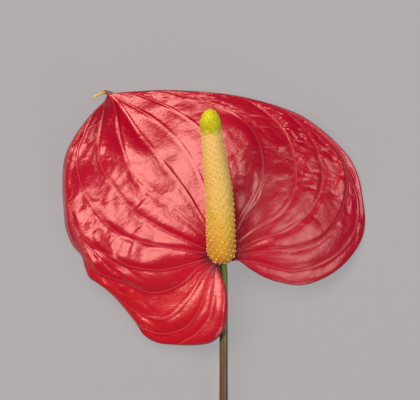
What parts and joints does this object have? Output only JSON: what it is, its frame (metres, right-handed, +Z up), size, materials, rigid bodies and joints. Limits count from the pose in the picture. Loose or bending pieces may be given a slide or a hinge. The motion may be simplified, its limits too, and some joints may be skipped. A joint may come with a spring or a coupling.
{
  "type": "anthurium cut flower",
  "caption": "Anthurium cut flower lying face up: glossy heart-shaped red spathe with puffed veins, upright yellow spadix and a bare round stem.",
  "frame": {"origin": "centre of the flower's footprint on the surface that it lies on", "axes": "+Z up, the way the open face of the spathe looks; +Y along the flower, from the cut end of the stem to the spathe; +X to the right lobe"},
  "size_m": [0.1394, 0.3251, 0.0564],
  "materials": {
    "spathe": "gloss",
    "spadix": "satin",
    "stem": "satin"
  },
  "bodies": {
    "root": {"spathe": "spathe", "spadix": "spadix", "stem": "stem"}
  },
  "joints": []
}
